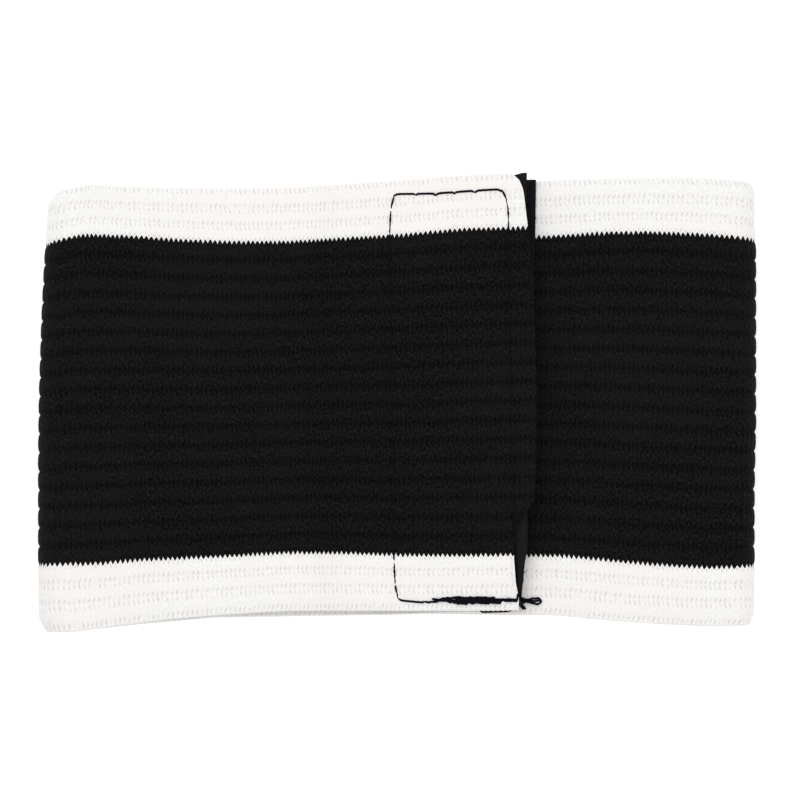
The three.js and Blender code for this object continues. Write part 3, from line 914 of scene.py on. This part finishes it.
# %% Finishes of the tapes
def tape_finish(name, dark, light, roughness, scale):
    """Woven nylon tape: two crossing waves for the yarns, with a little noise in their colour."""
    node, calc, mix, finish = new_finish(name, roughness, sheen=0.01, specular=0.15)
    place = node("ShaderNodeTexCoord", 3)
    yarns = {"Vector": place, "Scale": scale, "Distortion": 1.5}
    warp = node("ShaderNodeTexWave", 0, yarns, bands_direction="X")
    weft = node("ShaderNodeTexWave", 0, yarns, bands_direction="Y")
    cells = calc("MULTIPLY", warp, weft)
    fuzz = node("ShaderNodeTexNoise", 0, {"Vector": place, "Scale": scale * 2.2, "Detail": 3.0})
    colour = mix(calc("MULTIPLY", calc("ADD", cells, fuzz), 0.5), dark, light)
    return finish(colour, calc("ADD", cells, calc("MULTIPLY", fuzz, 0.5)), 0.5, 0.00012)


# Each row: the dark and the light of a near-black, then roughness and the yarns' scale.
TAPE_LOOKS = {
    "hook_tape_ground": ((0.001, 0.001, 0.0013, 1.0), (0.006, 0.006, 0.007, 1.0), 0.7, 700.0),
    "loop_tape_ground": ((0.001, 0.001, 0.0015, 1.0), (0.006, 0.006, 0.008, 1.0), 0.85, 800.0),
    "hook_nylon": ((0.006, 0.006, 0.008, 1.0), (0.018, 0.018, 0.021, 1.0), 0.35, 300.0),
    "loop_pile": ((0.003, 0.003, 0.005, 1.0), (0.012, 0.012, 0.016, 1.0), 0.8, 500.0),
}
finishes = {name: tape_finish(name, *look) for name, look in TAPE_LOOKS.items()}
print("finishes of the tapes:", list(finishes))
GROUND_THICK = 0.55  # mm


# %% Ground of a tape
def tape_ground(name, material, left, right, low_line, high_line, low_z, high_z):
    """A slab over a grid of two shares, along x and across y. Its four edges
    are lines: left and right give x for a share of the width, and the low
    and high lines give y for an x. Top and bottom close at rounded rims."""
    along, up = np.meshgrid(np.linspace(0.0, 1.0, 61), np.linspace(0.0, 1.0, 141), indexing="ij")
    x = left(up) + along * (right(up) - left(up))
    y = low_line(x) + up * (high_line(x) - low_line(x))
    rise = 0.03 * np.cos(2 * math.pi * x / 0.7) * np.cos(2 * math.pi * y / 0.7)
    rim = smooth_step(np.minimum(np.minimum(along, 1 - along) * 40, np.minimum(up, 1 - up) * 110))
    thick = (high_z - low_z) * (0.5 + 0.5 * rim)
    middle = (high_z + low_z) / 2
    top = np.stack([x, y, middle + thick / 2 + rise * rim], axis=-1)
    bottom = np.stack([x, y, middle - thick / 2 - rise * rim], axis=-1)
    rows, columns = along.shape
    index = np.arange(rows * columns).reshape(rows, columns)
    a, b, c, d = index[:-1, :-1], index[1:, :-1], index[1:, 1:], index[:-1, 1:]
    upper = np.stack([a, b, c, d], axis=-1).reshape(-1, 4)
    lower = upper[:, ::-1] + rows * columns
    rim_loop = np.concatenate([index[:, 0], index[-1, 1:], index[-2::-1, -1], index[0, -2:0:-1]])
    follow = np.roll(rim_loop, -1)
    walls = np.stack([follow, rim_loop, rim_loop + rows * columns, follow + rows * columns], axis=-1)
    points = np.vstack([top.reshape(-1, 3), bottom.reshape(-1, 3)])
    return new_piece(name, points, upper.tolist() + lower.tolist() + walls.tolist(), material)


# %% Edges of the tapes
hook_right_x = hook_high[0] + 0.2
loop_left_x = loop_low[0] + 1.1
loop_right_x = loop_high[0] - 1.1
# Two lists each. A cut end has shares of the tape's width, then mm past its right side. The long edge has x in
# mm, then mm inside the elastic's edge.
HOOK_CUT = ([0.0, 0.018, 0.03, 0.06, 0.09, 0.13, 1.0], [-2.2, -1.7, -1.2, -0.5, -0.6, 0.1, 0.0])
LOOP_CUT = ([0.0, 0.13, 0.5, 0.9, 1.0], [-1.8, -0.9, 0.2, 0.6, 0.7])
HOOK_LOW = (
    [-4.4, 2.0, 4.4, 7.0, 12.6, 13.6, 17.8, 19.4, 20.8],
    [0.9, 0.7, 0.35, 0.7, 0.35, -0.4, -0.5, 0.2, 0.3],
)


def hook_low_line(x):
    """The hook tape's lower long edge, which peeps past the elastic in two places."""
    return flap_line(x) - half_width + np.interp(x, *HOOK_LOW)


def hook_high_line(x):
    """The hook tape's upper long edge, which only shows past the flap's rounded corner."""
    return flap_line(x) + half_width + np.interp(x, [17.0, 20.0], [-0.7, 0.05])


def loop_low_line(x):
    """The loop tape's lower long edge, inside the elastic's."""
    return under_middle(x) - half_width + np.interp(x, [-12.0, 6.0], [2.5, 1.2])


def loop_high_line(x):
    """The loop tape's upper long edge."""
    return under_middle(x) + half_width + np.interp(x, [19.0, 21.0], [-0.6, -0.05])


hook_tape = tape_ground(
    "hook_tape_ground",
    finishes["hook_tape_ground"],
    lambda up: hook_low[0] + 0 * up,
    lambda up: hook_right_x + np.interp(up, *HOOK_CUT),
    hook_low_line,
    hook_high_line,
    hook_high[2] - GROUND_THICK,
    hook_high[2],
)
loop_tape = tape_ground(
    "loop_tape_ground",
    finishes["loop_tape_ground"],
    lambda up: loop_left_x + 2.2 * (up - 0.5),
    lambda up: loop_right_x + np.interp(up, *LOOP_CUT),
    loop_low_line,
    loop_high_line,
    loop_low[2],
    loop_low[2] + GROUND_THICK,
)

# %% [markdown]
# ## Hooks and loops
# A hook is a short stem that bends over into a crook, and neighbouring rows face opposite ways. A loop is
# an arch of fine yarn that leans at random, because brushing has tangled the pile. Both are thin tubes
# with few faces, made all at once.

# %% Hooks
HOOK_PITCH = (1.25, 1.4)  # mm along x and y
HOOK_RADIUS = 0.11  # mm
HOOK_CLEAR = 0.8  # mm from the tape's long edges
SEAM_CLEAR = 0.7  # mm from the seam, where the needle has crushed the hooks
HOOK_SIDES = 5
HOOK_RINGS = 8


def hook_paths():
    """Each hook's stem drops from the ground, then curls through a third of a circle and back up: the
    distance down is a sine of t, and the sideways step is a smooth one."""
    gx = np.arange(hook_low[0] + 1.2, hook_high[0] - 1.4, HOOK_PITCH[0])
    gy = np.arange(-half_width + 1.6, half_width - 1.6, HOOK_PITCH[1])
    x, y = np.meshgrid(gx, gy, indexing="ij")
    facing = np.where((np.arange(len(gx))[:, None] % 2) == 0, 1.0, -1.0) * np.ones_like(y)
    x, y, facing = x.ravel(), (y + flap_line(x)).ravel(), facing.ravel()
    on_tape = (y > hook_low_line(x) + HOOK_CLEAR) & (y < hook_high_line(x) - HOOK_CLEAR)
    clear = on_tape & (distance_to_box(x, y, HOOK_SEAM) > SEAM_CLEAR)
    x, y, facing = x[clear], y[clear], facing[clear]
    x = x + rng.normal(0, 0.06, len(x))
    y = y + rng.normal(0, 0.06, len(y))
    drop = hook_high[2] - GROUND_THICK - hook_low[2] - HOOK_RADIUS
    t = np.linspace(0.0, 1.0, HOOK_RINGS)[None, :]
    down = drop * np.sin(np.clip(t * 1.35, 0, 1.0) * math.pi / 2)
    down = down - drop * 0.45 * smooth_step((t - 0.62) / 0.38)
    step = 0.62 * smooth_step((t - 0.25) / 0.75)
    px = x[:, None] + facing[:, None] * step
    py = y[:, None] + 0.12 * step * facing[:, None]
    pz = hook_high[2] - GROUND_THICK + 0.1 - down
    return np.stack(np.broadcast_arrays(px, py, pz), axis=-1)


points, faces = tube_arrays(hook_paths(), HOOK_RADIUS, HOOK_SIDES)
hooks = new_piece("hook_tape_hooks", points, faces, finishes["hook_nylon"])
print("hooks:", len(points) // (HOOK_SIDES * HOOK_RINGS), "with", len(hooks.data.polygons), "faces")

# %% Loops
LOOP_COUNT = 2400
LOOP_RADIUS = 0.045  # mm
LOOP_SIDES = 4
LOOP_RINGS = 8


def loop_paths():
    """Each loop is an arch: two feet close together, and a
    height that is a sine of t, leaning at random."""
    x = rng.uniform(loop_left_x + 1.2, loop_right_x + 0.5, LOOP_COUNT)
    up = rng.uniform(0.015, 0.985, LOOP_COUNT)
    x = np.minimum(x, loop_right_x + np.interp(up, *LOOP_CUT) - 0.35)
    y = loop_low_line(x) + up * (loop_high_line(x) - loop_low_line(x))
    turn = rng.uniform(0, 2 * math.pi, LOOP_COUNT)
    reach = rng.uniform(0.35, 0.75, LOOP_COUNT)
    height = rng.uniform(0.45, 0.72, LOOP_COUNT)
    lean = rng.normal(0, 0.22, (LOOP_COUNT, 2))
    t = np.linspace(0.0, 1.0, LOOP_RINGS)[None, :]
    out = (t - 0.5) * reach[:, None]
    lift = np.sin(t * math.pi)
    px = x[:, None] + out * np.cos(turn)[:, None] + lift * lean[:, :1]
    py = y[:, None] + out * np.sin(turn)[:, None] + lift * lean[:, 1:]
    pz = loop_low[2] + GROUND_THICK - 0.05 + lift * height[:, None]
    return np.stack([px, py, pz], axis=-1)


points, faces = tube_arrays(loop_paths(), LOOP_RADIUS, LOOP_SIDES)
loops = new_piece("loop_tape_pile", points, faces, finishes["loop_pile"])
print("loops:", LOOP_COUNT, "with", len(loops.data.polygons), "faces")
for piece in (hook_tape, hooks):
    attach(piece, "flap_tip")
for piece in (loop_tape, loops):
    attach(piece, "under_panel")
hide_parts("hook_tape")
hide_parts("loop_tape")

# %% [markdown]
# ## Thread
# The seams are lockstitch in navy polyester thread. Each stitch lies on the cloth for about three
# millimetres and dives into a needle hole at each end. Three plies are twisted together, which shows as a
# slanting ripple along the thread.

# %% Thread finish
def thread_finish():
    """Navy thread with a soft shine and a little fuzz in its colour."""
    node, calc, mix, finish = new_finish("navy_thread", 0.8, specular=0.06)
    place = node("ShaderNodeTexCoord", 3)
    fuzz = node("ShaderNodeTexNoise", 0, {"Vector": place, "Scale": 3000.0, "Detail": 3.0})
    colour = mix(fuzz, (0.0010, 0.0011, 0.0026, 1.0), (0.0050, 0.0056, 0.0125, 1.0))
    return finish(colour, fuzz, 0.3, 0.00005)


navy = thread_finish()
THREAD_RADIUS = 0.18  # mm
THREAD_SIDES = 10
STITCH = 3.0  # mm
PLY = 0.12  # of the radius, how far three plies swell it
PLY_TWIST = 2.6  # radians for each mm of thread
SINK = 0.2  # mm that a stitch across the band lies deeper, between two picks
DIVE = 0.28  # mm under the surface at a needle hole


def thread_arrays(paths):
    """Thread along paths, as points and faces."""
    return tube_arrays(paths, THREAD_RADIUS, THREAD_SIDES, PLY, PLY_TWIST)


# %% Stitches along a box
def stitch_holes(corners):
    """Needle holes along each side of a closed box, about a stitch apart, with a hole at every corner."""
    starts, stops = [], []
    for a, b in zip(corners, corners[1:] + corners[:1]):
        a, b = np.array(a), np.array(b)
        count = max(1, int(round(np.linalg.norm(b - a) / STITCH)))
        t = np.linspace(0.0, 1.0, count + 1)[:, None]
        holes = a + (b - a) * t
        starts.append(holes[:-1])
        stops.append(holes[1:])
    return np.vstack(starts), np.vstack(stops)


def stitch_paths(starts, stops, surface, lift, steps=16):
    """Each stitch runs straight between its holes and is tugged a little inwards at them, by the eighth
    power of the distance from its middle, and least where it runs across the band. Its height over the
    surface is lift in its middle, less where it runs across the band, and falls to DIVE below the surface
    at its ends, by the sixteenth power of the distance from the stitch's middle."""
    t = (1.0 - np.cos(np.linspace(0.0, math.pi, steps))) / 2
    along = (stops - starts) / np.linalg.norm(stops - starts, axis=1)[:, None]
    inward = np.stack([along[:, 1], -along[:, 0]], axis=-1)
    inward *= np.sign(np.sum(inward * (starts.mean(axis=0) - starts), axis=1))[:, None]
    tug = rng.uniform(0.1, 0.65, (len(starts), 2))
    tug *= 1.0 - 0.75 * np.abs(along[:, 1:])
    pull = np.where(t < 0.5, tug[:, :1], tug[:, 1:]) * np.abs(2 * t - 1)[None, :] ** 8
    flat = starts[:, None, :] + (stops - starts)[:, None, :] * t[None, :, None]
    flat = flat + inward[:, None, :] * pull[..., None]
    level = lift - SINK * np.abs(along[:, 1:])
    over = level - (level + DIVE) * np.abs(2 * t - 1)[None, :] ** 16
    return surface(flat[..., 0], flat[..., 1], over)


# %% Surfaces that carry thread
SHORT_LENGTH_Y = -28.5  # mm, where the loop seam's right column comes to the surface
COLUMN_FOOT_Y = -31.6  # mm, the lower end of that column
inner_top = under_z + half_thick


def on_flap(x, y, over):
    """A point over the flap's face, where the seam has pulled it down, or over the hook tape where the
    flap's border was cut back."""
    pulled = flap_top - SEAM_PULL
    past = smooth_step(0.5 + (x - tip_x - tip_offset(y)) / 0.6)
    fall = past * (pulled - hook_high[2] - 0.15)
    return np.stack(np.broadcast_arrays(x, y, pulled - 0.1 - fall + over), axis=-1)


def under_hooks(x, y, over):
    """A point under the hook tape's ground."""
    return np.stack(np.broadcast_arrays(x, y, hook_high[2] - GROUND_THICK - over), axis=-1)


def on_loops(x, y, over):
    """A point over the loop tape's ground, or over the elastic where the seam runs past the tape. There
    the cloth swallows the right column, but for one short length."""
    ground = loop_low[2] + GROUND_THICK
    drop = smooth_step(x - loop_right_x + 1.0 - 0.02 * y) * (ground - inner_top + 0.1)
    swallowed = 0.3 - 0.25 * np.exp(-(((y - SHORT_LENGTH_Y) / 0.6) ** 2))
    drop = drop + np.where((x > tip_x) & (y > COLUMN_FOOT_Y), swallowed, 0.0)
    return np.stack(np.broadcast_arrays(x, y, ground - drop + over), axis=-1)


def under_inner_end(x, y, over):
    """A point under the inner end, on the arm's side."""
    return np.stack(np.broadcast_arrays(x, y, under_z - half_thick - over + 0.15), axis=-1)


# %% Sewing
def merge_arrays(parts):
    """Several sets of points and faces as one."""
    points, faces, base = [], [], 0
    for p, f in parts:
        faces += [[i + base for i in face] for face in f]
        points.append(p)
        base += len(p)
    return np.vstack(points), faces


def sew(name, corners, surface, body, node_name, lift=0.13, extra=()):
    """One seam's thread on one face, as a piece."""
    starts, stops = stitch_holes(corners)
    paths = stitch_paths(starts, stops, surface, lift)
    thread = thread_arrays(paths)
    points, faces = merge_arrays([thread, *extra])
    piece = new_piece(name, points, faces, navy)
    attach(piece, body)
    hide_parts(node_name)
    print(name, "has", len(starts), "stitches")
    return piece


# %% [markdown]
# ## Heaped thread
# At the end of each seam the machine went forwards and back, so the thread is heaped there. The hook
# seam's heap fills most of its lower run and ends in a short cut tail. The loop seam's heap is at its
# lower right corner, which shows past the flap and lies on the inner end.

# %% Heaps and tail
def heaped_thread(surface, x_range, y_lanes, count, high):
    """Extra stitches between random holes in a few lanes, each arching over the last: the height is a
    sine of t times a random share, less an eighth power at the ends."""
    x0 = np.sort(rng.uniform(x_range[0], x_range[1] - 2.4, count))
    reach = rng.uniform(1.4, 2.8, count)
    y0 = rng.choice(y_lanes, (count, 2)) + rng.normal(0, 0.07, (count, 2))
    t = np.linspace(0.0, 1.0, 16)
    x = x0[:, None] + reach[:, None] * t
    y = y0[:, :1] + (y0[:, 1:] - y0[:, :1]) * smooth_step(t)
    share = rng.uniform(0.1, 1.0, (count, 1))
    over = 0.12 + high * share * np.sin(math.pi * t)[None, :] - 0.5 * np.abs(2 * t - 1) ** 8
    return thread_arrays(surface(x, y, over))


def thread_run(places, steps=60):
    """One thread along a smooth path through a few places in
    mm, by blurring the straight lines between them."""
    places = np.array(places, float)
    gone = np.concatenate([[0.0], np.cumsum(np.linalg.norm(np.diff(places, axis=0), axis=1))])
    t = np.linspace(0.0, gone[-1], steps)
    path = np.stack([np.interp(t, gone, places[:, i]) for i in range(3)], axis=-1)
    for _ in range(5):
        path[1:-1] = (path[:-2] + 2 * path[1:-1] + path[2:]) / 4
    return thread_arrays([path])


heap_y = HOOK_SEAM[8][1]  # the seam's lower right corner
HOOK_LANES = heap_y + np.array([-0.4, -0.12, 0.16, 0.44])
TRAIL_LANES = heap_y + np.array([-0.12, 0.12])
LOOP_LANES = heap_y + np.array([-0.45, -0.2, 0.05])
# Each heap: the surface, its x range and lanes in mm, the number of stitches and its height in mm. Each run's
# places are x, y and z in mm.
hook_heap = heaped_thread(on_flap, (5.4, 16.6), HOOK_LANES, 56, 0.5)
hook_trail = heaped_thread(on_flap, (13.5, 19.2), TRAIL_LANES, 7, 0.3)
hook_tail = thread_run([
    (17.5, heap_y + 0.2, flap_top + 0.2),
    (18.9, heap_y + 0.1, flap_top - 0.1),
    (19.6, heap_y - 0.2, flap_top - 1.6),
    (19.9, heap_y - 0.6, inner_top + 1.1),
    (20.3, heap_y - 1.1, inner_top + 0.5),
    (20.6, heap_y - 1.5, inner_top + 0.3),
])
hook_strand = thread_run([
    (17.2, heap_y - 0.1, flap_top + 0.1),
    (18.9, heap_y - 0.1, flap_top - 0.2),
    (19.5, heap_y - 0.4, flap_top - 1.7),
    (19.7, heap_y - 0.8, inner_top + 1.0),
    (20.0, heap_y - 1.2, inner_top + 0.5),
    (20.3, heap_y - 1.5, inner_top + 0.3),
])
loop_heap = heaped_thread(on_loops, (17.5, 22.6), LOOP_LANES, 9, 0.25)
loop_eye = thread_run([
    (20.6, heap_y - 0.1, inner_top + 0.35),
    (21.8, heap_y + 0.2, inner_top + 0.3),
    (22.8, heap_y + 0.25, inner_top + 0.25),
    (23.15, heap_y - 0.25, inner_top + 0.25),
    (22.7, heap_y - 0.75, inner_top + 0.25),
    (21.7, heap_y - 0.55, inner_top + 0.35),
    (20.8, heap_y - 0.3, inner_top + 0.6),
])
print("points in the hook seam's heap:", len(hook_heap[0]))

# %% Sew the four faces
HALF_SUNK = 0.1  # mm that a stitch on a flat face lies over it
face_heaps = [hook_heap, hook_trail, hook_tail, hook_strand]
sew("hook_seam_face", HOOK_SEAM, on_flap, "flap_tip", "hook_stitching_face", extra=face_heaps)
sew("hook_seam_back", HOOK_SEAM, under_hooks, "flap_tip", "hook_stitching_back", HALF_SUNK)
loop_heaps = [loop_heap, loop_eye]
sew("loop_seam_face", LOOP_SEAM, on_loops, "under_panel", "loop_stitching_face", HALF_SUNK, loop_heaps)
sew("loop_seam_back", LOOP_SEAM, under_inner_end, "under_panel", "loop_stitching_back", HALF_SUNK)
